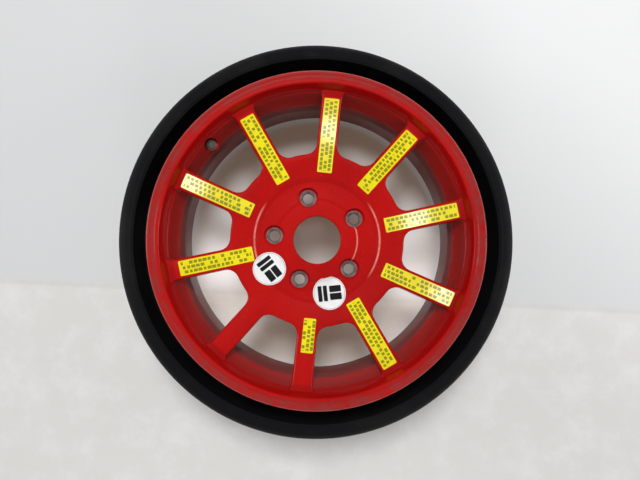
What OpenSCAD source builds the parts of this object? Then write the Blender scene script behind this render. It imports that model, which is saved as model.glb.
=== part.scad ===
// Collapsible space saver spare wheel: a one-piece cast wheel with ten spokes, a folded tyre,
// a clamp-in valve with its core and cap, and the stickers on its face.
// It lies flat with its face up: the axis is Z and the hub mounting face is at z = 0.
// All lengths are in millimetres.

/* [Rim] */
// Radius of the bead seat at the flange
bead_r = 228.6; // [226:0.1:231]
// Width between the two flanges
rim_w = 165; // [158:1:176]
// Distance from the hub mounting face back to the rim's centre plane
rim_offset = 42; // [38:1:46]
// Height of the flanges above the bead seat
flange_h = 17.4; // [15.5:0.1:19]
// Thickness of each flange along the axis
flange_w = 12.5; // [12.2:0.1:14]
// Width of the outboard flange's front ring
flange_ring = 18; // [17:0.5:20]
// Depth of the shallow ring sunk in the flange's front
lip_dip = 1.2; // [0.8:0.1:1.4]
// Width of the inboard flange's foot ring
foot_ring = 11; // [10:0.5:12]
// Depth of the well below the bead seat
well_depth = 17; // [15:0.5:19]
// Width of the well's floor
well_w = 49; // [44:1:54]
// Distance from the outboard flange to the well's floor
well_start = 50; // [48:1:53]
// Wall of the barrel at the well
wall = 6; // [5:0.5:7]
// Wall of the barrel under the bead seats
seat_wall = 7.6; // [7:0.1:9]
// Length of each bead seat
seat_l = 18; // [17.5:0.5:20]
// Height of the hump that locks the bead
hump_h = 1.2; // [0.8:0.1:1.6]

/* [Hub] */
// Radius of the centre bore
bore_r = 35.8; // [33:0.1:38]
// Thickness of the hub boss round the bore
boss_t = 19; // [17.5:0.5:21]
// Outer radius of the hub boss
boss_r = 59; // [55:0.5:61]
// Thickness of the sunk ring that the bolts sit in
ring_t = 16.5; // [15.5:0.5:17]
// Outer radius of the sunk ring
ring_r = 95; // [91:0.5:98]
// Outer radius of the hub mounting face
face_r = 84; // [83:0.5:86]
// Diameter of the bolt circle
bolt_pcd = 130; // [126:1:134]
// Number of bolt holes
bolt_count = 5; // [4:1:6]
// Angle of the first bolt hole
bolt_angle = 30; // [28:1:32]
// Radius of the bolt holes
bolt_r = 7.75; // [7:0.05:8.5]
// Radius of the counterbores in front of the bolt holes
counterbore_r = 15.5; // [14:0.5:17]
// Height of the counterbores' floor above the mounting face
counterbore_z = 9.5; // [8.5:0.5:11]
// Depth of the lightening pockets in the mounting face
pocket_d = 10; // [6:0.5:11]
// Radius at which the lightening pockets start
pocket_in = 50; // [48:0.5:54]
// Radius at which the lightening pockets end
pocket_out = 77; // [72:0.5:79]

/* [Spokes] */
// Number of spokes
spoke_count = 10; // [9:1:11]
// Angle of the first spoke
spoke_angle = 12; // [8:1:16]
// Width of a spoke's front, edge to edge
spoke_w = 30; // [27:0.5:33]
// Height of the web's front where the spokes leave the hub
web_in_z = 21; // [20:0.5:23]
// Depth of the web's front below the lip where the spokes meet the barrel
web_drop = 13.2; // [12:0.2:16]
// Height of the web's back at the barrel
web_back_z = 13; // [10:0.5:15]
// Radius of the windows' inner edge
window_r = 130; // [125:0.5:136]
// Radius of the windows' inner corners
window_fillet = 18; // [14:0.5:20]
// Radius of the fillets where the spokes flare into the barrel
flare_r = 13; // [8:0.5:16]
// Radius of the spokes' front edges
edge_r = 3.5; // [2:0.1:5]
// Draft of the windows' side walls over the depth of the web
draft = 1.6; // [0.6:0.1:2.4]
// Width of the channel in a spoke's back
channel_w = 16; // [12:0.5:18]
// Thickness of the skin between the channel and the spoke's front
channel_skin = 8; // [7:0.5:11]
// Radius at which the channels start
channel_in = 108; // [104:0.5:114]
// Radius at which the channels end
channel_out = 192; // [180:0.5:198]

/* [Folded tyre] */
// Outer radius of the folded tyre
tyre_r = 300; // [296:0.5:306]
// Width across the folded tyre's shoulders
tyre_w = 134; // [130:0.5:138]
// Thickness of the tread and belts
tread_t = 13; // [12:0.5:15]
// Drop of the tread from its middle to its shoulders
crown_drop = 2; // [1:0.1:3]
// Radius of the shoulders
shoulder_r = 17; // [14:0.5:19]
// Height of the shoulders' side, from the crown to the mouth of the fold
shoulder_h = 27; // [26:0.5:29]
// Thickness of the sidewalls
side_t = 7.5; // [6:0.1:8]
// Distance from the shoulder to the bottom of the fold
fold_depth = 36; // [30:0.5:40]
// Clear height of the fold at its bottom
fold_gap = 11; // [10:0.5:12]
// Width of the beads
bead_w = 16; // [14:0.5:17]
// Clearance between the beads and the rim
bead_clear = 0.2; // [0.1:0.05:0.4]
// Number of grooves round the tread
groove_count = 4; // [2:1:5]
// Width of the grooves
groove_w = 7; // [4:0.5:9]
// Depth of the grooves
groove_d = 5; // [3:0.5:6]
// Distance between the grooves
groove_pitch = 25; // [22:0.5:26]
// Number of slots across each shoulder
slot_count = 60; // [48:2:66]
// Width of the slots
slot_w = 5.2; // [4:0.1:6]
// Depth of the slots
slot_d = 4; // [3:0.5:5]

/* [Valve] */
// Angle of the valve round the wheel
valve_angle = 138; // [136:1:140]
// Lean of the valve towards the axis
valve_lean = 16; // [12:1:20]
// Radius of the valve hole
valve_hole_r = 5.75; // [5.6:0.05:6]
// Thickness of the rim at the valve seat
valve_seat_t = 5.5; // [4.5:0.5:6.5]
// Radius of the boss round the valve hole
valve_boss_r = 11; // [10:0.5:12]
// Outer radius of the valve stem
stem_r = 3.9; // [3.7:0.05:4.2]
// Height of the stem above its seat
stem_h = 17; // [16:0.5:19]
// Radius of the stem's head inside the tyre
head_r = 7.5; // [7:0.1:8.2]
// Thickness of the stem's head
head_t = 2.6; // [2:0.1:3.2]
// Thickness of the grommet under the head
grommet_t = 2.5; // [2:0.1:3]
// Thickness of the washer
washer_t = 1.2; // [1:0.1:1.6]
// Outer radius of the washer
washer_r = 7.6; // [7.2:0.1:8.2]
// Width across the nut's flats
nut_af = 12; // [11.5:0.1:13]
// Height of the nut
nut_h = 4.5; // [4:0.1:5]
// Radius of the bore through the stem
stem_bore_r = 2.6; // [2.3:0.05:2.8]
// Outer radius of the cap
cap_r = 5.4; // [5.2:0.1:5.8]
// Height of the cap
cap_h = 12; // [11.5:0.1:13]
// Thickness of the cap's end
cap_end = 2.2; // [1.8:0.1:2.4]
// Clearance between pieces of the valve that slide or turn
valve_clear = 0.1; // [0.05:0.05:0.15]
// Number of grip ribs round the cap
cap_ribs = 18; // [12:1:20]

/* [Stickers] */
// Radius at which the long strips start
strip_in = 103; // [101:0.5:106]
// Length of the long strips
strip_l = 108; // [100:1:112]
// Width of the long strips
strip_w = 22; // [18:0.5:23]
// Length of the short strip
short_strip_l = 50; // [40:1:60]
// Width of the short strip
short_strip_w = 18; // [14:0.5:22]
// Distance of the short strip from its spoke's middle line
short_strip_shift = 2; // [0:0.5:3]
// Thickness of every sticker
sticker_t = 0.4; // [0.3:0.05:0.6]
// Thickness of the glue under every sticker
glue_t = 0.1; // [0.05:0.05:0.2]
// Radius of the round stickers
disc_r = 24.6; // [22:0.2:26]
// Distance of the discs' middles from the wheel's axis
disc_at = 82.4; // [81.5:0.1:84]
// Radius of the corners of the strips
strip_corner = 1.5; // [1:0.1:3]

/* [Hidden] */

$fn = 96;
arc_step = 15;
cut = 1;
far = 40;
seat_taper = tan(5);
heel_r = 6.5;
flange_round = 9.5;

// Heights of the rim along the axis
mid_z = -rim_offset;
out_z = mid_z + rim_w / 2;
in_z = mid_z - rim_w / 2;
lip_z = out_z + flange_w;
foot_z = in_z - flange_w;
flange_r = bead_r + flange_h;
seat_end_r = bead_r - seat_l * seat_taper;
well_r = bead_r - well_depth;
inner_well_r = well_r - wall;
inner_seat_r = bead_r - seat_wall;
well_top_z = out_z - well_start;
well_foot_z = well_top_z - well_w;
hump_l = 7;
in_hump_z = in_z + seat_l + hump_l;
slope_foot_z = mix(well_foot_z, in_hump_z, 0.61);
lip_edge = flange_w - flange_round;
lip_ridge = 5;
ledge_z = 18;
ledge_w = 2;

// The web's front and back are cones between the hub and the barrel
web_out_r = bead_r - 3.6;
web_out_z = lip_z - web_drop;
web_back_in_r = face_r + 8;
web_back_in_z = 2;
web_root_r = bead_r - 9.6;
bolt_circle_r = bolt_pcd / 2;
bore_chamfer = 1.5;

function mix(a, b, t) = a + (b - a) * t;
function front_z(r) = mix(web_in_z, web_out_z, (r - ring_r) / (web_out_r - ring_r));
function back_z(r) = mix(web_back_in_z, web_back_z, (r - web_back_in_r) / (web_root_r - web_back_in_r));
function unit(v) = v / norm(v);
function polar(r, a) = [r * cos(a), r * sin(a)];

// One corner of an outline, rounded to radius r between its neighbours a and c
function round_corner(a, b, c, r) =
  let (u = unit(a - b), v = unit(c - b), half = acos(u * v) / 2)
  let (m = b + unit(u + v) * r / sin(half), p = b + u * r / tan(half) - m, q = b + v * r / tan(half) - m)
  let (from = atan2(p[1], p[0]), turn = (atan2(q[1], q[0]) - from + 540) % 360 - 180)
  let (n = max(2, ceil(abs(turn) / arc_step)))
  [for (i = [0 : n]) m + polar(r, from + turn * i / n)];

// A closed outline from corners [x, y, radius], where radius 0 keeps the corner sharp
function outline(corners) =
  let (n = len(corners), xy = [for (k = corners) [k[0], k[1]]])
  [for (i = [0 : n - 1])
    each (corners[i][2] == 0
      ? [xy[i]]
      : round_corner(xy[(i + n - 1) % n], xy[i], xy[(i + 1) % n], corners[i][2]))];

// Points of an arc about c from angle a to angle b
function arc(c, r, a, b, n) = [for (i = [0 : n]) c + polar(r, mix(a, b, i / n))];

// Closed skin through rings that all have the same number of points
module loft(rings) {
  n = len(rings[0]);
  top = len(rings) - 1;
  polyhedron(
    points = [for (ring = rings) each ring],
    faces = [
      [for (i = [0 : n - 1]) i],
      [for (i = [n - 1 : -1 : 0]) top * n + i],
      for (k = [0 : top - 1], i = [0 : n - 1]) each [
        [k * n + i, (k + 1) * n + i, (k + 1) * n + (i + 1) % n],
        [k * n + i, (k + 1) * n + (i + 1) % n, k * n + (i + 1) % n]
      ]
    ],
    convexity = 4
  );
}

// The rim's section, from the outboard lip down the tyre side and back up inside
function rim_section() = outline([
  [flange_r, lip_z, lip_edge],
  [flange_r, out_z, flange_round],
  [bead_r, out_z, heel_r],
  [seat_end_r, out_z - seat_l, 1],
  [seat_end_r + hump_h, out_z - seat_l - hump_l / 2, 3],
  [seat_end_r - 0.4, out_z - seat_l - hump_l, 4],
  [well_r, well_top_z, 9],
  [well_r, well_foot_z, 9],
  [seat_end_r - 0.4, slope_foot_z, 5],
  [seat_end_r - 0.4, in_hump_z, 2],
  [seat_end_r + hump_h, in_z + seat_l + hump_l / 2, 3],
  [seat_end_r, in_z + seat_l, 1],
  [bead_r, in_z, heel_r],
  [flange_r, in_z, flange_round],
  [flange_r, foot_z, lip_edge],
  [flange_r - foot_ring, foot_z, 3],
  [inner_seat_r + 3, foot_z + 9, 6],
  [inner_seat_r, foot_z + 24, 12],
  [inner_seat_r, slope_foot_z - 3, 12],
  [inner_well_r, well_foot_z - 4, 10],
  [inner_well_r, well_top_z - 5, 12],
  [inner_seat_r - ledge_w, lip_z - ledge_z - 1, 1.2],
  [inner_seat_r, lip_z - ledge_z, 1.2],
  [inner_seat_r + 0.5, lip_z - ledge_z + 4, 3],
  [flange_r - flange_ring, lip_z, 3],
  [flange_r - flange_ring + lip_ridge, lip_z, 2],
  [flange_r - flange_ring + lip_ridge + 1.5, lip_z - lip_dip, 2],
  [flange_r - lip_ridge - 1.5, lip_z - lip_dip, 2],
  [flange_r - lip_ridge, lip_z, 2]
]);

// The section of the hub and web as one turned disc, before it is cut
function front_line() = [
  [bore_r, boss_t - bore_chamfer, 0],
  [bore_r + bore_chamfer, boss_t, 0],
  [boss_r, boss_t, 3],
  [boss_r + 5, ring_t, 3],
  [ring_r - 7, ring_t, 4],
  [ring_r, web_in_z, 4]
];

module disc_section() {
  polygon(outline(concat(
    [[bore_r, 0, 0]],
    front_line(),
    [
      [web_out_r, web_out_z, 0],
      [web_root_r, web_back_z, 0],
      [web_back_in_r, web_back_in_z, 8],
      [face_r, 0, 1]
    ]
  )));
}

// Half angle between two spokes and the centres of a window's corner fillets
half_gap = 180 / spoke_count;
window_out_r = web_out_r + 8;
function corner_centre(r, f) =
  let (side = spoke_w / 2 + f, along = sqrt(r * r - side * side))
  along * polar(1, half_gap) - side * polar(1, half_gap + 90);

// A window's outline grown by g, symmetric about the X axis and open to the barrel
function half_window(g) =
  let (ci = corner_centre(window_r + window_fillet, window_fillet))
  let (co = corner_centre(web_out_r - flare_r, flare_r))
  let (ai = atan2(ci[1], ci[0]), ao = atan2(co[1], co[0]))
  concat(
    arc([0, 0], window_r - g, ai / 4, ai * 3 / 4, 1),
    arc(ci, window_fillet + g, 180 + ai, half_gap + 90, 5),
    arc(co, flare_r + g, half_gap + 90, ao, 4),
    arc([0, 0], window_out_r, ao, ao / 5, 2)
  );
function window_outline(g) =
  let (half = half_window(g), n = len(half))
  concat([for (p = half) [p[0], -p[1]]], [for (i = [n - 1 : -1 : 0]) half[i]]);

// Rings of a window's cutter: level, or at a height over the web's back or front
function level_ring(g, z) = [for (p = window_outline(g)) [p[0], p[1], z]];
function back_ring(g, over) = [for (p = window_outline(g)) [p[0], p[1], back_z(norm(p)) + over]];
function front_ring(g, over) = [for (p = window_outline(g)) [p[0], p[1], front_z(norm(p)) + over]];

// The cutter of one window, with a rounded front edge and drafted walls
module window_cutter() {
  loft([
    level_ring(1.2, -far / 4),
    back_ring(0.8 - draft, 3),
    front_ring(0, -edge_r),
    for (a = [30, 60]) front_ring(edge_r * (1 - cos(a)), -edge_r * (1 - sin(a))),
    front_ring(edge_r, 0.1),
    level_ring(edge_r + 0.5, lip_z + cut)
  ]);
}

// One level of a spoke's back channel: a rounded slot along X, at a depth under the spoke's front
function channel_ring(half_w, grow, deep, below) =
  let (ends = [channel_in + half_w - grow, channel_out - half_w + grow])
  [for (p = concat(arc([ends[1], 0], half_w, -90, 90, 6), arc([ends[0], 0], half_w, 90, 270, 6)))
    [p[0], p[1], deep ? front_z(p[0]) - channel_skin : back_z(p[0]) - below]];

module channel_cutter() {
  loft([
    channel_ring(channel_w / 2 + draft, draft, false, 3),
    channel_ring(channel_w / 2 - 1, -1, true, 0)
  ]);
}

// A lightening pocket between two bolt holes, cut from the mounting face
module hub_pocket() {
  reach = 180 / bolt_count - 16;
  translate([0, 0, -cut])
    linear_extrude(pocket_d + cut)
      polygon(outline([
        for (k = [[pocket_in, -1, 4], [pocket_out, -1, 5], [pocket_out, -0.4, 12],
            [pocket_out, 0.4, 12], [pocket_out, 1, 5], [pocket_in, 1, 4]])
          [each polar(k[0], k[1] * reach), k[2]]
      ]));
}

module bolt_hole() {
  translate([bolt_circle_r, 0, 0]) {
    translate([0, 0, -cut]) cylinder(r = bolt_r, h = boss_t + 2 * cut);
    translate([0, 0, counterbore_z]) cylinder(r = counterbore_r, h = far);
    translate([0, 0, counterbore_z - 4])
      cylinder(r1 = bolt_r, r2 = bolt_r + 4, h = 4 + 0.01);
  }
}

// The valve stands in a boss on the barrel, with its seat at the boss's end
valve_seat_r = bead_r - 12.6;
valve_seat_z = out_z - 30.5;
spot_r = valve_boss_r - 0.5;
boss_in_r = well_r - 1.5 * far;
module at_valve() {
  rotate([0, 0, valve_angle])
    translate([valve_seat_r, 0, valve_seat_z])
      rotate([0, -valve_lean, 0])
        children();
}

module valve_boss() {
  intersection() {
    at_valve() translate([0, 0, -far / 2]) cylinder(r = valve_boss_r, h = far / 2);
    rotate_extrude()
      polygon([[boss_in_r, well_top_z], [well_r, well_top_z], [seat_end_r - 0.4, out_z - seat_l - hump_l],
        [seat_end_r - 0.4, out_z], [boss_in_r, out_z]]);
  }
}

module valve_cutter() {
  at_valve() {
    translate([0, 0, -far]) cylinder(r = valve_hole_r, h = 2 * far);
    cylinder(r = spot_r, h = far);
    translate([0, 0, -valve_seat_t - far]) cylinder(r = head_r + 1.5, h = far);
  }
}

module wheel() {
  color([0.72, 0.05, 0.04])
    difference() {
      union() {
        rotate_extrude() polygon(rim_section());
        valve_boss();
        difference() {
          rotate_extrude() disc_section();
          for (i = [0 : spoke_count - 1]) {
            rotate([0, 0, spoke_angle + half_gap * (2 * i + 1)]) window_cutter();
            rotate([0, 0, spoke_angle + half_gap * 2 * i]) channel_cutter();
          }
          for (i = [0 : bolt_count - 1]) {
            rotate([0, 0, bolt_angle + 360 / bolt_count * i]) bolt_hole();
            rotate([0, 0, bolt_angle + 360 / bolt_count * (i + 0.5)]) hub_pocket();
          }
        }
      }
      valve_cutter();
    }
}

// The tyre's section on one side of its centre plane, as corners [radius, height, rounding]
half_tyre = tyre_w / 2;
bead_out = rim_w / 2 - bead_clear;
bead_in = bead_out - bead_w;
mouth_r = tyre_r - shoulder_h;
fold_z = half_tyre - fold_depth;
fold_top = mouth_r - 4;
fold_foot = fold_top - fold_gap;
fold_round = fold_gap / 2 - 1.2;
liner_r = tyre_r - tread_t;
function seat_r(z) = bead_r - (rim_w / 2 - z) * seat_taper + bead_clear;

function tyre_outside() = concat(
  [for (i = [0 : groove_count - 1]) let (z = (i - (groove_count - 1) / 2) * groove_pitch)
    if (z > 0)
      each let (r = tyre_r - crown_drop * pow(z / half_tyre, 2)) [
        [r, z - groove_w / 2, 0.6],
        [r - groove_d, z - groove_w / 2 + 1, 1],
        [r - groove_d, z + groove_w / 2 - 1, 1],
        [r, z + groove_w / 2, 0.6]
      ]],
  [
    [tyre_r - crown_drop, half_tyre, shoulder_r],
    [mouth_r, half_tyre, 4],
    [fold_top - 2, fold_z, fold_round],
    [fold_foot, fold_z, fold_round],
    [flange_r + 5, bead_in + 6, 14],
    [flange_r, bead_out, 9],
    [seat_r(bead_out), bead_out, heel_r + 0.2],
    [seat_r(bead_in), bead_in, 2]
  ]
);
function tyre_inside() = [
  [flange_r - 6, bead_in, 8],
  [fold_foot - side_t - 1, fold_z - side_t, fold_round + side_t - 1],
  [fold_top - 2 + side_t, fold_z - side_t, fold_round + side_t - 1],
  [fold_top + side_t + 1, half_tyre - 11, 3],
  [liner_r - 1, half_tyre - 11, 3]
];
function flip(corners) = [for (i = [len(corners) - 1 : -1 : 0]) [corners[i][0], -corners[i][1], corners[i][2]]];

// The slots across one shoulder, from beside the last groove out over the shoulder's edge
slot_z = ((groove_count - 1) * groove_pitch + groove_w) / 2 + 2.5;
slot_tilt = 19;
module shoulder_slots(phase) {
  for (i = [0 : slot_count - 1])
    rotate([0, 0, 360 / slot_count * (i + phase)])
      translate([tyre_r - slot_d, -slot_w / 2, slot_z])
        rotate([0, -slot_tilt, 0])
          cube([far, slot_w, far]);
}

module tyre() {
  side = concat(tyre_outside(), tyre_inside());
  color([0.1, 0.1, 0.11])
    translate([0, 0, mid_z])
      difference() {
        rotate_extrude()
          polygon(outline(concat(side, flip(side))));
        shoulder_slots(1 / 12);
        mirror([0, 0, 1]) shoulder_slots(7 / 12);
      }
}

// Heights of the valve's pieces above the seat
nut_z = washer_t;
core_z = stem_h - 7;
pin_r = 0.8;
pin_top = stem_h - 0.5;
seal_t = 1;
seal_gap = 0.1;
cap_z = stem_h + seal_gap + seal_t + cap_end - cap_h;

module valve_stem() {
  color([0.72, 0.7, 0.62])
    at_valve()
      difference() {
        union() {
          translate([0, 0, -valve_seat_t - grommet_t - head_t]) cylinder(r = head_r, h = head_t);
          translate([0, 0, -valve_seat_t - grommet_t - cut]) cylinder(r = stem_r, h = stem_h + valve_seat_t + grommet_t);
          translate([0, 0, stem_h - cut]) cylinder(r1 = stem_r, r2 = stem_r - 0.6, h = cut);
        }
        translate([0, 0, -valve_seat_t - grommet_t - head_t - cut])
          cylinder(r = stem_bore_r, h = stem_h + far);
      }
}

module valve_grommet() {
  color([0.06, 0.06, 0.06])
    at_valve()
      difference() {
        union() {
          translate([0, 0, -valve_seat_t - grommet_t]) cylinder(r1 = head_r + 0.4, r2 = head_r + 0.8, h = grommet_t);
          translate([0, 0, -valve_seat_t - 0.5]) cylinder(r = valve_hole_r - 0.05, h = valve_seat_t + 0.4);
        }
        translate([0, 0, -far]) cylinder(r = stem_r + 0.05, h = 2 * far);
      }
}

module valve_washer() {
  color([0.7, 0.7, 0.68])
    at_valve()
      difference() {
        cylinder(r = washer_r, h = washer_t);
        translate([0, 0, -cut]) cylinder(r = stem_r + valve_clear, h = washer_t + 2 * cut);
      }
}

module valve_nut() {
  color([0.72, 0.7, 0.62])
    at_valve()
      translate([0, 0, nut_z])
        difference() {
          intersection() {
            cylinder(r = nut_af / sqrt(3), h = nut_h, $fn = 6);
            translate([0, 0, -0.001]) cylinder(r1 = nut_af / sqrt(3) + nut_h - 0.7, r2 = nut_af / sqrt(3) - 0.7, h = nut_h + 0.001);
          }
          translate([0, 0, -cut]) cylinder(r = stem_r + valve_clear / 2, h = nut_h + 2 * cut);
        }
}

module valve_core() {
  color([0.78, 0.62, 0.3])
    at_valve()
      difference() {
        union() {
          translate([0, 0, core_z]) cylinder(r = stem_bore_r - 0.05, h = 5);
          translate([0, 0, core_z - 3]) cylinder(r1 = stem_bore_r - 0.9, r2 = stem_bore_r - 0.05, h = 3);
        }
        translate([0, 0, core_z - 3 - cut]) cylinder(r = pin_r + valve_clear, h = 12);
      }
}

module valve_pin() {
  color([0.78, 0.62, 0.3])
    at_valve() {
      translate([0, 0, core_z - 4.5]) cylinder(r = pin_r, h = pin_top - core_z + 4.5 - 0.3);
      translate([0, 0, pin_top - 0.3]) cylinder(r1 = pin_r, r2 = pin_r - 0.3, h = 0.3);
      translate([0, 0, core_z - 6]) cylinder(r = pin_r + 0.7, h = 1.6);
    }
}

module valve_cap() {
  color([0.55, 0.55, 0.52])
    at_valve()
      translate([0, 0, cap_z])
        difference() {
          union() {
            cylinder(r = cap_r - 0.3, h = cap_h - 0.8);
            translate([0, 0, cap_h - 0.8]) cylinder(r1 = cap_r - 0.3, r2 = cap_r - 1.1, h = 0.8);
            for (i = [0 : cap_ribs - 1])
              rotate([0, 0, 360 / cap_ribs * i])
                translate([0, -0.35, 0.8]) cube([cap_r, 0.7, cap_h - 2.4]);
          }
          translate([0, 0, -cut]) cylinder(r = stem_r + valve_clear, h = cap_h - cap_end + cut);
        }
}

module cap_seal() {
  color([0.05, 0.05, 0.05])
    at_valve()
      translate([0, 0, cap_z + cap_h - cap_end - seal_t])
        cylinder(r = stem_r, h = seal_t);
}

// A thin skin that follows the front of the hub and web, for the stickers to be cut from
module sticker_skin() {
  line = outline(concat(
    [[bore_r, boss_t - 6, 0]],
    front_line(),
    [[web_out_r, web_out_z, 0], [web_out_r, web_out_z - far / 2, 0]]
  ));
  face = [for (p = line) if (p[1] > boss_t - 5 && p[0] > bore_r + bore_chamfer + 1) p];
  rotate_extrude()
    polygon(concat(
      [for (p = face) p + [0, glue_t]],
      [for (i = [len(face) - 1 : -1 : 0]) face[i] + [0, glue_t + sticker_t]]
    ));
}

// A strip on a spoke: its spoke's angle, where it starts, its size and its shift sideways
module strip(angle, start, l, w, shift = 0) {
  color([0.92, 0.86, 0.1])
    intersection() {
      sticker_skin();
      rotate([0, 0, angle])
        translate([start + l / 2, shift, 0])
          linear_extrude(2 * far)
            polygon(outline([
              [-l / 2, -w / 2, strip_corner],
              [l / 2, -w / 2, strip_corner],
              [l / 2, w / 2, strip_corner],
              [-l / 2, w / 2, strip_corner]
            ]));
    }
}

// A long strip on a numbered spoke, laid further out by a share of its length
module long_strip(spoke, further) {
  strip(spoke_angle + 2 * half_gap * spoke, strip_in + further * strip_l, strip_l, strip_w);
}

module strip_012() { long_strip(0, 0.01); }
module strip_048() { long_strip(1, -0.01); }
module strip_084() { long_strip(2, -0.01); }
module strip_120() { long_strip(3, -0.02); }
module strip_156() { long_strip(4, 0.03); }
module strip_192() { long_strip(5, -0.05); }
module strip_264() {
  strip(spoke_angle + 2 * half_gap * 7, strip_in + 0.13 * strip_l, short_strip_l, short_strip_w, short_strip_shift);
}
module strip_300() { long_strip(8, 0.02); }
module strip_336() { long_strip(9, 0.05); }

module round_sticker(angle, r) {
  color([0.93, 0.93, 0.9])
    intersection() {
      sticker_skin();
      rotate([0, 0, angle]) translate([r, 0, 0]) cylinder(r = disc_r, h = 2 * far);
    }
}
module disc_left() { round_sticker(211, 1.01 * disc_at); }
module disc_right() { round_sticker(283, 0.99 * disc_at); }

wheel();
tyre();
valve_stem();
valve_grommet();
valve_washer();
valve_nut();
valve_core();
valve_pin();
valve_cap();
cap_seal();
strip_012();
strip_048();
strip_084();
strip_120();
strip_156();
strip_192();
strip_264();
strip_300();
strip_336();
disc_left();
disc_right();
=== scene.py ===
"""Collapsible space saver spare wheel, dressed and lit as it is seen from above its face.

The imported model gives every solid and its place. This script gives the solids their finishes, models the
folded tyre with its tread and the threaded valve stem in full, and adds the floor, the lamps and the camera.
"""

from __future__ import annotations

import logging
import math
from collections.abc import Callable
from dataclasses import dataclass
from enum import Enum

import bmesh
import bpy
from mathutils import Matrix, Vector

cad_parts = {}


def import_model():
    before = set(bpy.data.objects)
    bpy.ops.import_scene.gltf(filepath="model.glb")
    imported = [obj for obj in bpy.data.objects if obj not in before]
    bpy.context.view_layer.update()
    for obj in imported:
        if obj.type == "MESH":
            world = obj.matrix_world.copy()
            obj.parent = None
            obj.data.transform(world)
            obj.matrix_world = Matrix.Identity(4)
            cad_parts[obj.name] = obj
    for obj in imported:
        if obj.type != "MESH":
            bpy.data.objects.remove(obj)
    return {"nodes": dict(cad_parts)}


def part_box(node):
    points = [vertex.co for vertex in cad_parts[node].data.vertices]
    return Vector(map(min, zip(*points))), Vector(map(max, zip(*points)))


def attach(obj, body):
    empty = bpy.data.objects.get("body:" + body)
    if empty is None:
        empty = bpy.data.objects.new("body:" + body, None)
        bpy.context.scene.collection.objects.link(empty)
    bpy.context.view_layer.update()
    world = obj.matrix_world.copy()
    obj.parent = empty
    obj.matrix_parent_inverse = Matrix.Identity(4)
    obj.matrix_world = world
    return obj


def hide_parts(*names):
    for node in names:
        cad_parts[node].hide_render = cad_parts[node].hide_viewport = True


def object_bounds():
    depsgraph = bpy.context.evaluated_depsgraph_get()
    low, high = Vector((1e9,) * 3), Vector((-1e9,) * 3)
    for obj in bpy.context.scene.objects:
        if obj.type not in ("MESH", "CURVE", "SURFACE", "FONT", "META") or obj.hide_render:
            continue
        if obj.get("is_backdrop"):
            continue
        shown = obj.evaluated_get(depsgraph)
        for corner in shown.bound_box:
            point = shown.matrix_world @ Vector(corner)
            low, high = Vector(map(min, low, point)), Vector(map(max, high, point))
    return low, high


LOG = logging.getLogger("spare_wheel")
MM = 0.001

Colour = tuple[float, float, float]
Corner = tuple[float, float, float]
Place = tuple[float, float, float]
Pair = tuple[float, float]
Socket = bpy.types.NodeSocket
Input = "float | Colour | Socket"

# The strips that mirror a lamp overhead, by their angle, and where that lamp hangs
GLARES: dict[str, Pair] = {
    "012": (-0.045, 0.048),
    "084": (0.014, 0.052),
    "156": (-0.09, 0.13),
    "336": (0.165, 0.005),
}


def polar(radius: float, degrees: float) -> Vector:
    """Returns the point at that radius and angle in the plane."""
    return Vector((radius * math.cos(math.radians(degrees)), radius * math.sin(math.radians(degrees))))


def rounded_outline(corners: list[Corner], step_at: Callable[[Corner], float]) -> list[Vector]:
    """Rounds the corners of a closed outline.

    Args:
        corners: each corner's x, y and rounding radius, where radius 0 keeps it sharp.
        step_at: gives the largest turn between two points of a corner's rounding, in degrees.

    Returns:
        The outline's points, in order.
    """
    points: list[Vector] = []
    count = len(corners)
    for index, corner in enumerate(corners):
        here, radius = Vector(corner[:2]), corner[2]
        if radius == 0:
            points.append(here)
            continue
        before = (Vector(corners[index - 1][:2]) - here).normalized()
        after = (Vector(corners[(index + 1) % count][:2]) - here).normalized()
        half = before.angle(after) / 2
        middle = here + (before + after).normalized() * (radius / math.sin(half))
        start = here + before * (radius / math.tan(half)) - middle
        end = here + after * (radius / math.tan(half)) - middle
        first = math.degrees(math.atan2(start.y, start.x))
        turn = (math.degrees(math.atan2(end.y, end.x)) - first + 540) % 360 - 180
        parts = max(2, math.ceil(abs(turn) / step_at(corner)))
        points += [middle + polar(radius, first + turn * part / parts) for part in range(parts + 1)]
    return points


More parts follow.
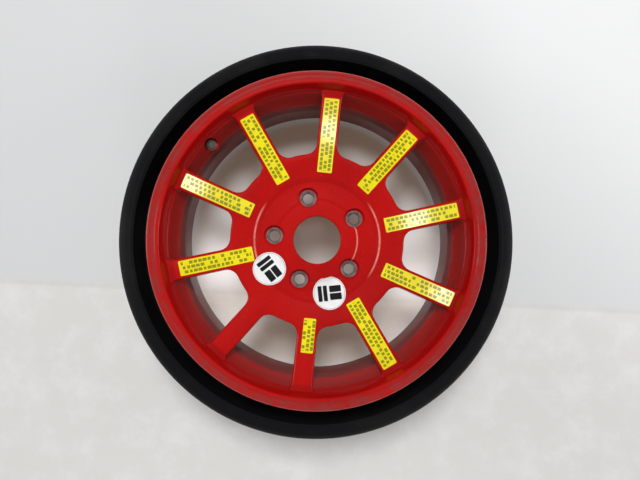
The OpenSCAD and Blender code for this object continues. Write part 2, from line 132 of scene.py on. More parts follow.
class Graph:
    """A material's node tree, with short calls for the nodes that the finishes share."""

    def __init__(self, name: str) -> None:
        """Starts a material that holds one Principled shader."""
        self.material = bpy.data.materials.new(name)
        self.material.use_nodes = True
        self.tree = self.material.node_tree
        self.tree.nodes.clear()
        self.shader = self.tree.nodes.new("ShaderNodeBsdfPrincipled")
        output = self.tree.nodes.new("ShaderNodeOutputMaterial")
        self.tree.links.new(self.shader.outputs["BSDF"], output.inputs["Surface"])
        self.place = self.tree.nodes.new("ShaderNodeTexCoord").outputs["Object"]

    def put(self, value: Input, socket: Socket) -> None:
        """Links a socket to an input, or sets the input to a plain value."""
        if isinstance(value, bpy.types.NodeSocket):
            self.tree.links.new(value, socket)
        elif isinstance(value, tuple) and len(value) == 3 and len(socket.default_value) == 4:
            socket.default_value = (*value, 1.0)
        else:
            socket.default_value = value

    def set(self, name: str, value: Input) -> None:
        """Sets or links one of the shader's inputs."""
        self.put(value, self.shader.inputs[name])

    def math(self, operation: str, *values: Input) -> Socket:
        """Returns the result of a Math node on one or two values."""
        node = self.tree.nodes.new("ShaderNodeMath")
        node.operation = operation
        for value, socket in zip(values, node.inputs):
            self.put(value, socket)
        return node.outputs["Value"]

    def chain(self, operation: str, first: Input, *rest: Input) -> Input:
        """Returns the result of one operation over a row of values."""
        for value in rest:
            first = self.math(operation, first, value)
        return first

    def times(self, *values: Input) -> Input:
        """Returns the product of the values."""
        return self.chain("MULTIPLY", *values)

    def plus(self, *values: Input) -> Input:
        """Returns the sum of the values."""
        return self.chain("ADD", *values)

    def most(self, *values: Input) -> Input:
        """Returns the largest of the values."""
        return self.chain("MAXIMUM", *values)

    def less(self, first: Input, second: Input) -> Socket:
        """Returns the first value less the second."""
        return self.math("SUBTRACT", first, second)

    def size(self, value: Input) -> Socket:
        """Returns a value without its sign."""
        return self.math("ABSOLUTE", value)

    def away(self, x: Input, y: Input) -> Socket:
        """Returns the distance of a point from the middle."""
        return self.math("SQRT", self.plus(self.times(x, x), self.times(y, y)))

    def step(self, value: Input, low: float, high: float) -> Socket:
        """Returns a smooth step of a value, 0 at low and 1 at high, where low may be the larger."""
        node = self.tree.nodes.new("ShaderNodeMapRange")
        node.interpolation_type = "SMOOTHSTEP"
        falling = low > high
        self.put(value, node.inputs["Value"])
        node.inputs["From Min"].default_value = min(low, high)
        node.inputs["From Max"].default_value = max(low, high)
        node.inputs["To Min"].default_value = 1.0 if falling else 0.0
        node.inputs["To Max"].default_value = 0.0 if falling else 1.0
        return node.outputs["Result"]

    def mix(self, factor: Input, first: Input, second: Input) -> Socket:
        """Returns a colour between two others."""
        node = self.tree.nodes.new("ShaderNodeMix")
        node.data_type = "RGBA"
        self.put(factor, node.inputs[0])
        self.put(first, node.inputs[6])
        self.put(second, node.inputs[7])
        return node.outputs[2]

    def split(self, vector: Socket) -> tuple[Socket, ...]:
        """Returns the three parts of a vector."""
        node = self.tree.nodes.new("ShaderNodeSeparateXYZ")
        self.put(vector, node.inputs[0])
        return tuple(node.outputs)

    def moved(self, x: float, y: float, degrees: float) -> Socket:
        """Returns object coordinates seen from a point, with X turned about Z by an angle."""
        node = self.tree.nodes.new("ShaderNodeMapping")
        node.vector_type = "TEXTURE"
        self.put(self.place, node.inputs["Vector"])
        node.inputs["Location"].default_value = (x, y, 0.0)
        node.inputs["Rotation"].default_value = (0.0, 0.0, math.radians(degrees))
        return node.outputs["Vector"]

    def noise(self, scale: float, detail: float = 3.0, rough: float = 0.5) -> Socket:
        """Returns the value of a noise texture, with its scale in patches a metre."""
        node = self.tree.nodes.new("ShaderNodeTexNoise")
        self.put(self.place, node.inputs["Vector"])
        node.inputs["Scale"].default_value = scale
        node.inputs["Detail"].default_value = detail
        node.inputs["Roughness"].default_value = rough
        return node.outputs[0]

    def specks(self, scale: float, size: float) -> Socket:
        """Returns a mask of small round specks, most of them left out at random."""
        node = self.tree.nodes.new("ShaderNodeTexVoronoi")
        self.put(self.place, node.inputs["Vector"])
        node.inputs["Scale"].default_value = scale
        dots = self.step(node.outputs["Distance"], size, size * 0.6)
        chance = self.step(self.split(node.outputs["Color"])[0], 0.9, 0.93)
        return self.times(dots, chance)

    def radius(self) -> Socket:
        """Returns the distance from the wheel's axis."""
        x, y, _ = self.split(self.place)
        return self.away(x, y)

    def height(self) -> Socket:
        """Returns the height along the wheel's axis."""
        return self.split(self.place)[2]

    def bump(self, height: Input, depth: float, soften: float = 0.0) -> None:
        """Gives the shader a bump.

        Args:
            height: the pattern of the bump.
            depth: how deep it is.
            soften: radius to which it rounds the piece's edges, where 0 leaves them alone.
        """
        node = self.tree.nodes.new("ShaderNodeBump")
        node.inputs["Distance"].default_value = depth
        self.put(height, node.inputs["Height"])
        if soften:
            edge = self.tree.nodes.new("ShaderNodeBevel")
            edge.samples = 4
            edge.inputs["Radius"].default_value = soften
            self.put(edge.outputs["Normal"], node.inputs["Normal"])
        self.set("Normal", node.outputs["Normal"])
        self.set("Coat Normal", node.outputs["Normal"])


@dataclass(frozen=True)
class WheelPaint:
    """Gloss red paint that thins out to a dull primer deep in the barrel, with dust and bare bolt seats.

    Each pair is where a mask starts and where it is full, in metres along the wheel's radius or height.
    The flange's inner wall carries painted shade, and the hub's round steps and the flange's edge carry
    painted highlights.
    """

    red: Colour = (0.43, 0.0036, 0.0026)
    dark_red: Colour = (0.36, 0.0030, 0.0024)
    dull_red: Colour = (0.25, 0.030, 0.028)
    primer: Colour = (0.165, 0.044, 0.040)
    # Painted shade colour for the flange's inner wall
    painted_shade_red: Colour = (0.24, 0.0018, 0.0018)
    bare: Colour = (0.13, 0.115, 0.11)
    seat: Colour = (0.30, 0.245, 0.23)
    # Painted highlight colour for the hub's round steps and the flange's edge
    highlight_pink: Colour = (0.80, 0.24, 0.20)
    lip_radius: Pair = (228 * MM, 236 * MM)
    lip_height: Pair = (44 * MM, 51 * MM)
    # Where the painted shade on the flange's inner wall starts and ends
    wall_inner: Pair = (210 * MM, 216 * MM)
    wall_outer: Pair = (230 * MM, 226 * MM)
    barrel_radius: Pair = (196 * MM, 199 * MM)
    primer_height: Pair = (5 * MM, -4 * MM)
    primer_ragged: float = 14 * MM
    # Where the painted highlights lie: each ring's middle and half width, then the flange edge's radius and
    # height
    hub_ring: Pair = (94 * MM, 1.9 * MM)
    bore_ring: Pair = (60.5 * MM, 1.6 * MM)
    edge_radius: Pair = (243.4 * MM, 244.8 * MM)
    edge_height: Pair = (47 * MM, 50 * MM)
    bolt_circle: float = 65 * MM
    bolt_count: int = 5
    first_bolt: float = 30.0
    seat_radius: Pair = (12.6 * MM, 12.2 * MM)
    seat_height: Pair = (10 * MM, 9.6 * MM)

    def build(self) -> bpy.types.Material:
        """Returns the paint as a material."""
        g = Graph("red_paint")
        radius, height = g.radius(), g.height()
        colour = g.mix(g.step(g.noise(7, 4, 0.6), 0.42, 0.68), self.red, self.dark_red)
        # The flange lip turns a darker, duller red in patches
        lip = g.times(g.step(radius, *self.lip_radius), g.step(height, *self.lip_height))
        lip_patches = g.times(lip, g.step(g.noise(38, 5, 0.7), 0.22, 0.68))
        colour = g.mix(g.times(lip_patches, 0.9), colour, self.dull_red)
        # Painted shade: the flange's inner wall under the lip is darkened as if in shadow
        wall_shade = g.times(g.step(radius, *self.wall_inner), g.step(radius, *self.wall_outer))
        colour = g.mix(g.times(wall_shade, 0.6), colour, self.painted_shade_red)
        ragged = g.plus(height, g.times(g.less(g.noise(26, 5, 0.65), 0.5), self.primer_ragged))
        barrel = g.times(g.step(radius, *self.barrel_radius), g.step(ragged, *self.primer_height))
        colour = g.mix(barrel, colour, g.mix(g.noise(60, 5, 0.7), self.primer, self.dull_red))
        # Painted highlights: pale pink on the hub's round steps and the flange's edge, where they would catch
        # the lamps
        colour = g.mix(self.painted_highlight_mask(g, radius), colour, self.highlight_pink)
        colour = g.mix(g.times(g.specks(330, 0.2), 0.7), colour, self.bare)
        seats = self.bolt_seats(g)
        worn_seat = g.mix(g.step(g.noise(120, 4, 0.6), 0.35, 0.7), self.seat, self.bare)
        g.set("Base Color", g.mix(seats, colour, worn_seat))
        g.set("Metallic", g.times(seats, 0.3))
        grain = g.times(g.noise(90, 4, 0.6), 0.12)
        g.set("Roughness", g.plus(grain, g.times(barrel, 0.32), g.times(seats, 0.25), 0.16))
        g.set("Specular IOR Level", 0.12)
        g.set("Coat Weight", 0.30)
        g.set("Coat Roughness", 0.04)
        peel = g.plus(g.noise(520, 2, 0.5), g.times(g.noise(55, 2), 1.5))
        g.bump(peel, 0.08 * MM, soften=1.2 * MM)
        return g.material

    def painted_highlight_mask(self, g: Graph, radius: Input) -> Socket:
        """Returns a mask of the painted highlights on the flanks of the hub's round steps and on the flange's
        edge.

        Args:
            g: the paint's graph.
            radius: the distance from the wheel's axis.
        """
        x = g.split(g.place)[0]
        rings = []
        for (middle, half), flank in ((self.hub_ring, g.size(x)), (self.bore_ring, x)):
            ring = g.step(g.size(g.less(radius, middle)), half, 0.3 * half)
            rings.append(g.times(ring, g.step(flank, 0.78 * middle, 0.93 * middle)))
        # Noise breaks the painted highlights into pieces
        highlight_gaps = g.step(g.noise(48, 5, 0.7), 0.22, 0.55)
        edge = g.times(g.step(radius, *self.edge_radius), g.step(g.height(), *self.edge_height))
        return g.times(g.most(g.times(g.most(*rings), 0.85), g.times(edge, 0.28)), highlight_gaps)

    def bolt_seats(self, g: Graph) -> Socket:
        """Returns a mask of the machined seats at the foot of the bolt holes."""
        masks = []
        for index in range(self.bolt_count):
            middle = polar(self.bolt_circle, self.first_bolt + 360 / self.bolt_count * index)
            x, y, _ = g.split(g.moved(middle.x, middle.y, 0.0))
            masks.append(g.step(g.away(x, y), *self.seat_radius))
        return g.times(g.most(*masks), g.step(g.height(), *self.seat_height))


@dataclass(frozen=True)
class TyreRubber:
    """Matt black rubber with a little grey dust, a scuffed tread and fine mould marks."""

    black: Colour = (0.0046, 0.0046, 0.0054)
    dust: Colour = (0.016, 0.0155, 0.0150)
    scuffed: Colour = (0.040, 0.038, 0.036)
    tread_radius: Pair = (296.2 * MM, 297.4 * MM)

    def build(self) -> bpy.types.Material:
        """Returns the rubber as a material."""
        g = Graph("tyre_rubber")
        patches = g.step(g.noise(9, 6, 0.65), 0.45, 0.75)
        colour = g.mix(g.times(patches, 0.5), self.black, self.dust)
        tread = g.times(g.step(g.radius(), *self.tread_radius), g.step(g.noise(31, 5, 0.7), 0.2, 0.7))
        g.set("Base Color", g.mix(g.times(tread, 0.8), colour, self.scuffed))
        g.set("Roughness", g.plus(g.times(g.noise(140, 4, 0.7), 0.22), 0.50))
        g.set("Specular IOR Level", 0.20)
        grain = g.plus(g.noise(900, 3, 0.6), g.times(g.noise(70, 3), 2.0))
        g.bump(grain, 0.12 * MM, soften=0.6 * MM)
        return g.material


@dataclass(frozen=True)
class PlainFinish:
    """A finish of two close colours with a fine grain: metal, plastic or moulded rubber."""

    name: str
    colour: Colour
    second: Colour
    metallic: float
    roughness: float
    grain: float = 900.0
    depth: float = 0.03 * MM

    def build(self) -> bpy.types.Material:
        """Returns the finish as a material."""
        g = Graph(self.name)
        g.set("Base Color", g.mix(g.noise(260, 4, 0.6), self.colour, self.second))
        g.set("Metallic", self.metallic)
        g.set("Roughness", g.plus(g.times(g.noise(600, 3), 0.2), self.roughness))
        g.bump(g.noise(self.grain, 3, 0.6), self.depth, soften=0.25 * MM)
        return g.material


METAL = PlainFinish("valve_metal", (0.50, 0.47, 0.40), (0.40, 0.37, 0.32), 1.0, 0.28)
BRASS = PlainFinish("valve_brass", (0.55, 0.40, 0.16), (0.45, 0.33, 0.14), 1.0, 0.30)
SEAL = PlainFinish("seal_rubber", (0.015, 0.015, 0.016), (0.03, 0.03, 0.03), 0.0, 0.55)
PLASTIC = PlainFinish("cap_plastic", (0.062, 0.052, 0.044), (0.095, 0.08, 0.07), 0.0, 0.42)


class Print(Enum):
    """What is printed on a sticker."""

    BARS = "rows of short bars along a strip"
    BLOCKS = "upright bars and blocks on a disc"


@dataclass(frozen=True)
class Block:
    """A rounded block printed on a disc, in millimetres from the disc's middle."""

    middle: Pair
    half: Pair
    corner: float

    def mask(self, g: Graph, x: Input, y: Input) -> Socket:
        """Returns the block's mask.

        Args:
            g: the material's graph.
            x: distance along the sticker.
            y: distance up the sticker.
        """
        over = []
        for value, centre, size in zip((x, y), self.middle, self.half):
            offset = g.size(g.less(value, centre * MM))
            over.append(g.most(g.less(offset, (size - self.corner) * MM), 0.0))
        return g.step(g.away(*over), (self.corner + 0.1) * MM, (self.corner - 0.1) * MM)


DISC_BLOCKS = (
    Block((-14.0, 0.0), (3.0, 11.6), 1.2),
    Block((-6.0, 0.0), (3.0, 11.6), 1.2),
    Block((9.2, 5.7), (8.8, 4.9), 1.5),
    Block((9.2, -5.7), (8.8, 4.9), 1.5),
)


@dataclass(frozen=True)
class StickerFilm:
    """Glossy printed film. The print is made of plain bars and blocks, measured from the sticker's middle.

    Attributes:
        name: the material's name.
        print_kind: what is printed on it.
        middle: the sticker's middle, seen along the wheel's axis.
        turn: the angle of its own X axis, in degrees.
        ground: the film's colour.
        ink: the print's colour.
        length: how long the film is.
        seed: makes each strip's bars its own.
        gloss: share of the full coat, which is 1 where the film mirrors a lamp.
        row_pitch: distance between the rows of bars.
        bar_pitch: distance between the bars in a row.
        print_half: half the width that the rows take.
        margin: what stays bare at each end.
        line_radius: where a disc's fine edge line starts and ends.
    """

    name: str
    print_kind: Print
    middle: Pair
    turn: float
    ground: Colour
    ink: Colour
    length: float = 108 * MM
    seed: float = 0.0
    gloss: float = 0.15
    row_pitch: float = 6.4 * MM
    bar_pitch: float = 6.6 * MM
    print_half: float = 9.6 * MM
    margin: float = 3 * MM
    line_radius: Pair = (22.6 * MM, 23.7 * MM)

    def build(self) -> bpy.types.Material:
        """Returns the film as a material."""
        g = Graph(self.name)
        x, y, _ = g.split(g.moved(*self.middle, self.turn))
        inked = self.bars(g, x, y) if self.print_kind is Print.BARS else self.blocks(g, x, y)
        shaded = tuple(part * 0.86 for part in self.ground)
        tint = g.mix(g.step(g.noise(45, 4, 0.6), 0.35, 0.75), self.ground, shaded)
        g.set("Base Color", g.mix(inked, tint, self.ink))
        g.set("Roughness", g.plus(g.times(g.noise(80, 3), 0.12), 0.30))
        g.set("Specular IOR Level", 0.12)
        g.set("Coat Weight", 0.65 * self.gloss)
        g.set("Coat Roughness", 0.045)
        g.bump(g.plus(g.times(inked, 0.1), g.noise(60, 2)), 0.06 * MM)
        return g.material

    def bars(self, g: Graph, x: Input, y: Input) -> Socket:
        """Returns the mask of the bars on a strip: three rows of short bars of random length.

        Args:
            g: the material's graph.
            x: distance along the strip.
            y: distance across it.
        """
        rows = g.math("DIVIDE", g.plus(y, self.print_half), self.row_pitch)
        row = g.math("FLOOR", rows)
        across = g.size(g.less(g.math("FRACT", rows), 0.5))
        column = g.plus(g.math("DIVIDE", x, self.bar_pitch), g.times(row, 0.37))
        cell = g.math("FLOOR", column)
        along = g.size(g.less(g.math("FRACT", column), 0.5))
        key = g.tree.nodes.new("ShaderNodeTexWhiteNoise")
        key.noise_dimensions = "1D"
        g.put(g.plus(g.times(row, 57.3), g.plus(cell, self.seed)), key.inputs["W"])
        chance = key.outputs["Value"]
        reach = g.plus(g.times(chance, 0.26), 0.20)
        long_enough = g.step(g.less(reach, along), -0.03, 0.03)
        thick_enough = g.step(g.less(0.34, across), -0.04, 0.04)
        kept = g.step(chance, 0.14, 0.17)
        end = self.length / 2 - self.margin
        inside = g.times(g.step(g.size(y), self.print_half, self.print_half - 0.2 * MM),
                         g.step(g.size(x), end, end - 0.4 * MM))
        return g.times(long_enough, thick_enough, kept, inside, 0.85)

    def blocks(self, g: Graph, x: Input, y: Input) -> Socket:
        """Returns the mask of the blocks and the fine edge line on a disc.

        Args:
            g: the material's graph.
            x: distance along the disc's own axis.
            y: distance across it.
        """
        printed = g.most(*(block.mask(g, x, y) for block in DISC_BLOCKS))
        away = g.away(x, y)
        inner, outer = self.line_radius
        line = g.times(g.step(away, inner, inner + 0.3 * MM), g.step(away, outer, outer - 0.3 * MM))
        return g.most(printed, g.times(line, 0.45))


def finish_mesh(name: str, mesh: bmesh.types.BMesh, material: bpy.types.Material,
                body: str = "root", smooth: float = 35.0) -> bpy.types.Object:
    """Turns a bmesh into a piece that rides on a body.

    Args:
        name: the piece's name.
        mesh: its bmesh, which is freed.
        material: its finish.
        body: the body that it rides on.
        smooth: edges that turn by less than this many degrees are shaded smooth.

    Returns:
        The new object.
    """
    bmesh.ops.remove_doubles(mesh, verts=mesh.verts, dist=1e-7)
    bmesh.ops.recalc_face_normals(mesh, faces=mesh.faces)
    data = bpy.data.meshes.new(name)
    mesh.to_mesh(data)
    mesh.free()
    data.materials.append(material)
    data.polygons.foreach_set("use_smooth", [True] * len(data.polygons))
    data.set_sharp_from_angle(angle=math.radians(smooth))
    piece = bpy.data.objects.new(name, data)
    bpy.context.scene.collection.objects.link(piece)
    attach(piece, body)
    return piece


def spin_outline(points: list[Pair], steps: int) -> bmesh.types.BMesh:
    """Returns a closed outline spun round the Z axis.

    Args:
        points: the outline's points as radius and height.
        steps: how many steps the turn takes.
    """
    mesh = bmesh.new()
    verts = [mesh.verts.new((radius, 0, height)) for radius, height in points]
    edges = [mesh.edges.new((verts[i - 1], verts[i])) for i in range(len(verts))]
    bmesh.ops.spin(mesh, geom=verts + edges, axis=(0, 0, 1), cent=(0, 0, 0), dvec=(0, 0, 0),
                   angle=2 * math.pi, steps=steps, use_merge=True, use_duplicate=False)
    return mesh


def smooth_group(angle: float) -> bpy.types.NodeTree:
    """Returns a geometry node group that shades smooth all edges up to an angle, in radians."""
    group = bpy.data.node_groups.new("smooth_by_angle", "GeometryNodeTree")
    group.interface.new_socket("Geometry", in_out="INPUT", socket_type="NodeSocketGeometry")
    group.interface.new_socket("Geometry", in_out="OUTPUT", socket_type="NodeSocketGeometry")
    nodes, links = group.nodes, group.links
    start, end = nodes.new("NodeGroupInput"), nodes.new("NodeGroupOutput")
    faces = nodes.new("GeometryNodeSetShadeSmooth")
    faces.domain = "FACE"
    edges = nodes.new("GeometryNodeSetShadeSmooth")
    edges.domain = "EDGE"
    turn = nodes.new("GeometryNodeInputMeshEdgeAngle")
    compare = nodes.new("FunctionNodeCompare")
    compare.operation = "LESS_EQUAL"
    compare.inputs["B"].default_value = angle
    links.new(turn.outputs["Unsigned Angle"], compare.inputs["A"])
    links.new(compare.outputs["Result"], edges.inputs["Shade Smooth"])
    links.new(start.outputs[0], faces.inputs["Geometry"])
    links.new(faces.outputs["Geometry"], edges.inputs["Geometry"])
    links.new(edges.outputs["Geometry"], end.inputs[0])
    return group


def dress_solid(node: bpy.types.Object, material: bpy.types.Material, smooth: float = 28.0) -> None:
    """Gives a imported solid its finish, and shades its curved faces smooth without touching its mesh.

    Args:
        node: the solid's object.
        material: its finish.
        smooth: edges that turn by less than this many degrees are shaded smooth.
    """
    node.data.materials.clear()
    node.data.materials.append(material)
    weld = node.modifiers.new("weld", "WELD")
    weld.merge_threshold = 0.002 * MM
    shade = node.modifiers.new("smooth", "NODES")
    shade.node_group = smooth_group(math.radians(smooth))


@dataclass(frozen=True)
class FoldedTyre:
    """The folded tyre: a spun section with grooves, and slots cut across its tread. Sizes in millimetres."""

    outer: float = 300.0
    width: float = 134.0
    tread: float = 13.0
    drop: float = 2.0
    shoulder: float = 17.0
    shoulder_height: float = 27.0
    side: float = 7.5
    fold_depth: float = 36.0
    fold_gap: float = 11.0
    bead: float = 16.0
    bead_taper: float = 5.0
    rim_half: float = 82.5
    seat: float = 228.6
    flange: float = 246.0
    centre: float = -42.0
    groove_pitch: float = 25.0
    groove_width: float = 7.0
    groove_depth: float = 5.0
    slot_depth: float = 4.0
    # Steps of the spin in a turn, and from one slot to the next
    steps: int = 360
    slot_every: int = 6
    # Where the slots lie, as distances from the centre plane
    centre_slots: Pair = (2.0, 9.0)
    side_slots: Pair = (18.0, 32.0)
    side_kink: float = 26.0
    shoulder_slots: float = 41.0

    def crown(self, z: float) -> float:
        """Returns the tread's radius at a distance from the centre plane."""
        return self.outer - self.drop * (2 * z / self.width) ** 2

    def tread_corners(self) -> list[Corner]:
        """Returns the corners of half the tread, from near the centre plane to near the shoulder."""
        corners: list[Corner] = []
        start = 0.0
        for middle in (0.5 * self.groove_pitch, 1.5 * self.groove_pitch):
            near, far = middle - self.groove_width / 2, middle + self.groove_width / 2
            for share in (0.3, 0.7):
                z = start + (near - start) * share
                corners.append((self.crown(z), z, 0))
            corners += [
                (self.crown(near), near, 0.6),
                (self.outer - self.groove_depth, near + 1, 0.8),
                (self.outer - self.groove_depth, far - 1, 0.8),
                (self.crown(far), far, 0.6),
            ]
            start = far
        return corners + [(self.crown(start + z), start + z, 0) for z in (2.5, 5.5, 8.0)]

    def half_section(self) -> list[Corner]:
        """Returns the corners of the section on one side, from the tread round the fold to the inside."""
        half = self.width / 2
        mouth = self.outer - self.shoulder_height
        fold = half - self.fold_depth
        top, foot = mouth - 4, mouth - 4 - self.fold_gap
        bead_out = self.rim_half - 0.2
        bead_in = bead_out - self.bead
        taper = math.tan(math.radians(self.bead_taper))
        return self.tread_corners() + [
            (self.crown(half), half, self.shoulder),
            (mouth + 5.2, half, 0.3),
            (mouth + 4.6, half + 0.7, 0.3),
            (mouth + 3.4, half + 0.7, 0.3),
            (mouth + 2.8, half, 0.3),
            (mouth, half, 2.4),
            (top - 2, fold, self.fold_gap / 2 - 1.2),
            (foot, fold, self.fold_gap / 2 - 1.2),
            (self.flange + 5, bead_in + 6, 14),
            (self.flange, bead_out, 9),
            (self.seat - 0.2 * taper + 0.2, bead_out, 6.7),
            (self.seat - (self.bead + 0.2) * taper + 0.2, bead_in, 2),
            (self.flange - 6, bead_in, 8),
            (foot - self.side - 1, fold - self.side, self.fold_gap / 2 + self.side - 2.2),
            (top - 2 + self.side, fold - self.side, self.fold_gap / 2 + self.side - 2.2),
            (top + self.side + 1, half - 11, 3),
            (self.outer - self.tread - 1, half - 11, 3),
        ]

    def rounding_step(self, corner: Corner) -> float:
        """Returns the turn between a rounding's points: fine on the shoulder, coarse if small or hidden."""
        radius, z, rounding = corner
        if rounding < 1:
            return 30.0
        return 11.0 if radius > self.seat + 40 and abs(z) >= self.width / 2 else 24.0

    def section(self) -> list[Pair]:
        """Returns the whole closed section as radius and height in metres."""
        side = self.half_section()
        mirrored = [(radius, -z, rounding) for radius, z, rounding in reversed(side)]
        outline = rounded_outline(side + mirrored, self.rounding_step)
        return [(point.x * MM, (point.y + self.centre) * MM) for point in outline]

    def in_slot(self, face: bmesh.types.BMFace) -> bool:
        """Tells whether a face of the tread lies in one of the slots across it."""
        middle = face.calc_center_median()
        radius = math.hypot(middle.x, middle.y) / MM
        z = middle.z / MM - self.centre
        if radius < self.outer - 3.2 or abs(face.normal.z) > 0.75:
            return False
        step = int((math.degrees(math.atan2(middle.y, middle.x)) % 360) * self.steps / 360)
        phase, away = step % self.slot_every, abs(z)
        if away > self.shoulder_slots:
            return phase == (0 if z > 0 else self.slot_every // 2)
        if self.side_slots[0] < away < self.side_slots[1]:
            return phase == (3 if away > self.side_kink else 2)
        return self.centre_slots[0] < away < self.centre_slots[1] and step % (2 * self.slot_every) in (4, 5)

    def cut_slots(self, mesh: bmesh.types.BMesh) -> None:
        """Sinks the slots into the tread."""
        mesh.normal_update()
        faces = [face for face in mesh.faces if self.in_slot(face)]
        made = bmesh.ops.extrude_face_region(mesh, geom=faces)["geom"]
        bmesh.ops.delete(mesh, geom=faces, context="FACES_ONLY")
        depth = self.slot_depth * MM
        for vert in (item for item in made if isinstance(item, bmesh.types.BMVert)):
            radius = math.hypot(vert.co.x, vert.co.y)
            vert.co.x *= (radius - depth) / radius
            vert.co.y *= (radius - depth) / radius

    def build(self, material: bpy.types.Material) -> bpy.types.Object:
        """Builds the tyre and puts it in its solid's place."""
        mesh = spin_outline(self.section(), self.steps)
        bmesh.ops.remove_doubles(mesh, verts=mesh.verts, dist=1e-6)
        self.cut_slots(mesh)
        piece = finish_mesh("folded_tyre", mesh, material, smooth=32)
        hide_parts("tyre")
        return piece


@dataclass(frozen=True)
class ValveStem:
    """The clamp-in stem, turned with its head and its thread, and stood on its seat. Sizes in millimetres."""

    angle: float = 138.0
    lean: float = 16.0
    seat_radius: float = 216.0
    seat_height: float = 10.0
    head: float = 7.5
    head_top: float = -8.0
    head_foot: float = -10.6
    chamfer: float = 0.5
    radius: float = 3.9
    thread_start: float = 0.4
    thread_depth: float = 0.35
    pitch: float = 0.8
    height: float = 17.0
    bore: float = 2.6
    steps: int = 40

    def place(self) -> Matrix:
        """Returns the transform from the valve's own axis to the wheel."""
        return (Matrix.Rotation(math.radians(self.angle), 4, "Z")
                @ Matrix.Translation((self.seat_radius * MM, 0, self.seat_height * MM))
                @ Matrix.Rotation(math.radians(-self.lean), 4, "Y"))

    def section(self) -> list[Pair]:
        """Returns the stem's closed section as radius and height in metres."""
        points = [
            (self.bore, self.head_foot),
            (self.head - self.chamfer, self.head_foot),
            (self.head, self.head_foot + self.chamfer),
            (self.head, self.head_top),
            (self.radius, self.head_top),
            (self.radius, 0.0),
        ]
        z = self.thread_start
        while z < self.height - 1.2:
            points += [(self.radius - self.thread_depth, z), (self.radius, z + self.pitch / 2)]
            z += self.pitch
        points += [(self.radius - 0.6, self.height), (self.bore, self.height)]
        return [(radius * MM, height * MM) for radius, height in points]

    def build(self, material: bpy.types.Material) -> bpy.types.Object:
        """Builds the stem and puts it in its solid's place."""
        mesh = spin_outline(self.section(), self.steps)
        bmesh.ops.transform(mesh, matrix=self.place(), verts=mesh.verts)
        piece = finish_mesh("threaded_stem", mesh, material, smooth=25)
        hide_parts("valve_stem")
        return piece


def dress_valve(nodes: dict[str, bpy.types.Object]) -> None:
    """Gives the valve's solids their finishes and models its threaded stem."""
    metal, brass, seal = METAL.build(), BRASS.build(), SEAL.build()
    for name in ("valve_washer", "valve_nut", "valve_stem"):
        dress_solid(nodes[name], metal)
    for name in ("valve_core", "valve_pin"):
        dress_solid(nodes[name], brass)
    for name in ("valve_grommet", "cap_seal"):
        dress_solid(nodes[name], seal)
    dress_solid(nodes["valve_cap"], PLASTIC.build())
    LOG.info("stem: %s", ValveStem().build(metal).name)


@dataclass(frozen=True)
class Stickers:
    """The strips on the spokes and the discs on the hub, each with a print that follows its own axes."""

    yellow: Colour = (0.80, 0.68, 0.012)
    olive: Colour = (0.15, 0.16, 0.012)
    white: Colour = (0.80, 0.79, 0.78)
    black: Colour = (0.012, 0.012, 0.014)
    long_strip: float = 108 * MM
    short_strip: float = 50 * MM
    seed_step: float = 31.7

    def middle(self, node: str) -> Pair:
        """Returns the middle of a sticker's box, seen along the wheel's axis."""
        low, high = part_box(node)
        return ((low.x + high.x) / 2, (low.y + high.y) / 2)

    def dress(self, nodes: dict[str, bpy.types.Object]) -> None:
        """Gives every sticker its printed film."""
        strips = sorted(name for name in nodes if name.startswith("strip_"))
        for index, name in enumerate(strips):
            angle = name[-3:]
            film = StickerFilm(name + "_film", Print.BARS, self.middle(name), float(angle),
                               self.yellow, self.olive,
                               length=self.short_strip if angle == "264" else self.long_strip,
                               seed=self.seed_step * index, gloss=1.0 if angle in GLARES else 0.15)
            dress_solid(nodes[name], film.build())
        for name, turn in (("disc_left", -52.0), ("disc_right", 6.0)):
            film = StickerFilm(name + "_film", Print.BLOCKS, self.middle(name), turn, self.white, self.black)
            dress_solid(nodes[name], film.build())


@dataclass(frozen=True)
class Lamp:
    """A square soft lamp.

    Attributes:
        name: its name.
        place: where it hangs.
        size: its side.
        power: its power in watts.
        glint: power of the lamp as gloss mirrors it, where that differs.
        target: the point that it faces.
    """

    name: str
    place: Place
    size: float
    power: float
    glint: float | None = None
    target: Place = (0.0, 0.0, 0.0)

    def hang(self, only: bpy.types.Object | None = None) -> None:
        """Adds the lamp to the scene.

        Args:
            only: the one piece that mirrors it, where not all do.
        """
        parts = [(self.name, self.power, True, True)]
        if self.glint is not None:
            parts = [(self.name, self.power, True, False), (self.name + "_glint", self.glint, False, True)]
        for name, watts, lights_up, is_mirrored in parts:
            light = bpy.data.lights.new(name, "AREA")
            light.shape = "SQUARE"
            light.size = self.size
            light.energy = watts
            lamp = bpy.data.objects.new(name, light)
            lamp.visible_diffuse = lights_up
            lamp.visible_glossy = is_mirrored
            if only is not None and not lights_up:
                mirrors = bpy.data.collections.new(name + "_mirrors")
                mirrors.objects.link(only)
                lamp.light_linking.receiver_collection = mirrors
            lamp.location = self.place
            line = Vector(self.target) - Vector(self.place)
            lamp.rotation_euler = line.to_track_quat("-Z", "Y").to_euler()
            bpy.context.scene.collection.objects.link(lamp)


CEILING = Lamp("ceiling", (-0.10, 0.96, 2.45), 0.8, 56, glint=6)
WINDOWS = (
    Lamp("left_window", (-2.3, 0.2, 1.1), 0.7, 9),
    Lamp("right_window", (2.3, 0.0, 1.1), 0.7, 9),
    Lamp("near_window", (0.1, -2.2, 1.0), 0.7, 10, glint=3),
)
UNDERGLOWS = (
    Lamp("underglow_1", (-0.17, -0.06, -0.07), 0.12, 0.095, target=(-0.17, -0.06, -0.2)),
    Lamp("underglow_3", (0.17, -0.06, -0.07), 0.12, 0.095, target=(0.17, -0.06, -0.2)),
)


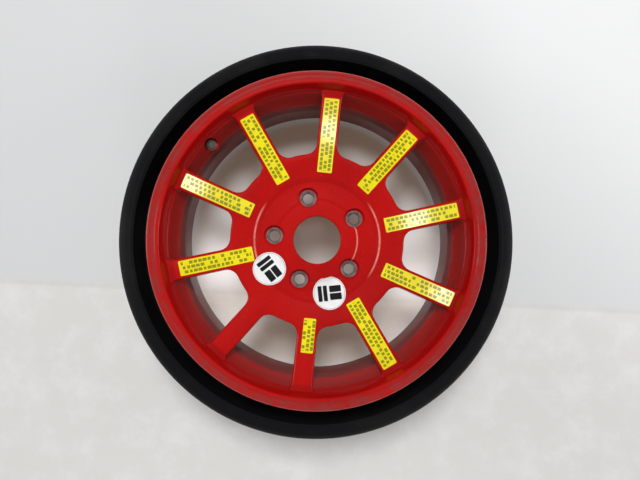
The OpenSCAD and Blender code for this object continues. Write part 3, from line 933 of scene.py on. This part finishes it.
@dataclass(frozen=True)
class Studio:
    """The pale floor, the soft lamps and the camera."""

    focal_px: float = 515.0
    image_width: float = 640.0
    sensor: float = 36.0
    distance: float = 740 * MM
    lip: float = 53 * MM
    aim: Pair = (3.7 * MM, -0.9 * MM)
    tilt: Pair = (-0.018, -0.029)
    floor_half: float = 6.0
    far_floor: Colour = (0.53, 0.53, 0.532)
    near_floor: Colour = (0.565, 0.55, 0.525)
    speckle: Colour = (0.66, 0.65, 0.63)
    seam: Colour = (0.42, 0.41, 0.40)
    # Painted warm bounce light on the floor under the wheel
    painted_bounce: Colour = (0.55, 0.38, 0.20)
    seam_slant: float = 0.05
    near_edge: Pair = (-88 * MM, -96 * MM)
    seam_edge: Pair = (-104 * MM, -97 * MM)
    # Where the painted bounce light under the wheel fades out
    painted_bounce_radius: Pair = (235 * MM, 205 * MM)
    lift: float = 0.13
    glare_height: float = 2.50
    air: Colour = (0.93, 0.95, 1.0)
    air_strength: float = 0.22

    def floor_paint(self) -> bpy.types.Material:
        """Returns the floor's paint: two pale fields that meet at a slanted seam.

        A small emission that only the camera and mirrors see keeps the floor pale without lighting the wheel.
        It is painted light too: it rises toward one corner, and under the wheel it turns warm as painted
        bounce light.
        """
        g = Graph("floor_paint")
        x, y, _ = g.split(g.place)
        slant = g.plus(y, g.times(x, self.seam_slant))
        near = g.step(slant, *self.near_edge)
        seam = g.times(near, g.step(slant, *self.seam_edge))
        speckle = g.times(near, g.step(g.noise(14, 6, 0.7), 0.42, 0.7))
        colour = g.mix(near, self.far_floor, self.near_floor)
        colour = g.mix(g.times(speckle, 0.6), colour, self.speckle)
        g.set("Base Color", g.mix(g.times(seam, 0.35), colour, self.seam))
        g.set("Roughness", 0.9)
        g.set("Specular IOR Level", 0.1)
        rays = g.tree.nodes.new("ShaderNodeLightPath").outputs
        seen = g.most(rays["Is Camera Ray"], rays["Is Glossy Ray"], rays["Is Transmission Ray"])
        # Painted light: warm bounce under the wheel, and a glow that rises toward plus x and y
        g.set("Emission Color", g.mix(g.step(g.radius(), *self.painted_bounce_radius), (1.0, 1.0, 1.0), self.painted_bounce))
        painted_light_rise = g.plus(g.times(g.step(g.plus(x, y), 0.15, 1.0), 1.6), 1.0)
        g.set("Emission Strength", g.times(seen, painted_light_rise, self.lift))
        return g.material

    def floor(self, height: float) -> None:
        """Lays a wide pale floor at a height."""
        mesh = bmesh.new()
        bmesh.ops.create_grid(mesh, x_segments=1, y_segments=1, size=self.floor_half)
        bmesh.ops.translate(mesh, vec=(0, 0, height), verts=mesh.verts)
        data = bpy.data.meshes.new("floor")
        mesh.to_mesh(data)
        mesh.free()
        data.materials.append(self.floor_paint())
        plane = bpy.data.objects.new("floor", data)
        bpy.context.scene.collection.objects.link(plane)
        plane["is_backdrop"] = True

    def lights(self, nodes: dict[str, bpy.types.Object]) -> None:
        """Adds the lamps and the pale surroundings.

        Args:
            nodes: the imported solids, some of which mirror a lamp of their own.
        """
        CEILING.hang()
        for angle, (x, y) in GLARES.items():
            lamp = Lamp("overhead_" + angle, (x, y, self.glare_height), 0.13, 0.4, glint=8)
            lamp.hang(only=nodes["strip_" + angle])
        for lamp in WINDOWS + UNDERGLOWS:
            lamp.hang()
        world = bpy.data.worlds.new("pale_room")
        bpy.context.scene.world = world
        world.use_nodes = True
        background = world.node_tree.nodes["Background"]
        background.inputs["Color"].default_value = (*self.air, 1.0)
        background.inputs["Strength"].default_value = self.air_strength

    def camera(self) -> None:
        """Stands the camera over the wheel's face, as far off and as tilted as the photograph's was."""
        data = bpy.data.cameras.new("camera")
        data.sensor_width = self.sensor
        data.lens = self.sensor * self.focal_px / self.image_width
        data.clip_start = 0.01
        camera = bpy.data.objects.new("camera", data)
        back = Vector((*self.tilt, 1.0)).normalized()
        target = Vector((*self.aim, self.lip))
        right = Vector((0, 1, 0)).cross(back).normalized()
        turn = Matrix((right, back.cross(right), back)).transposed().to_4x4()
        camera.matrix_world = Matrix.Translation(target + back * self.distance) @ turn
        bpy.context.scene.collection.objects.link(camera)
        bpy.context.scene.camera = camera


def main() -> None:
    """Loads the frame, dresses the wheel piece by piece and sets the scene."""
    logging.basicConfig(level=logging.INFO, format="%(name)s: %(message)s")
    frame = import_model()
    cad_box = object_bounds()
    nodes = frame["nodes"]
    studio = Studio()
    studio.camera()
    dress_solid(nodes["wheel"], WheelPaint().build(), smooth=30)
    LOG.info("wheel dressed")
    rubber = TyreRubber().build()
    dress_solid(nodes["tyre"], rubber)
    LOG.info("tyre: %s", FoldedTyre().build(rubber).name)
    dress_valve(nodes)
    Stickers().dress(nodes)
    LOG.info("stickers dressed")
    studio.floor(cad_box[0][2])
    studio.lights(nodes)
    bpy.context.scene.view_settings.view_transform = "Standard"


if __name__ == "__main__":
    main()
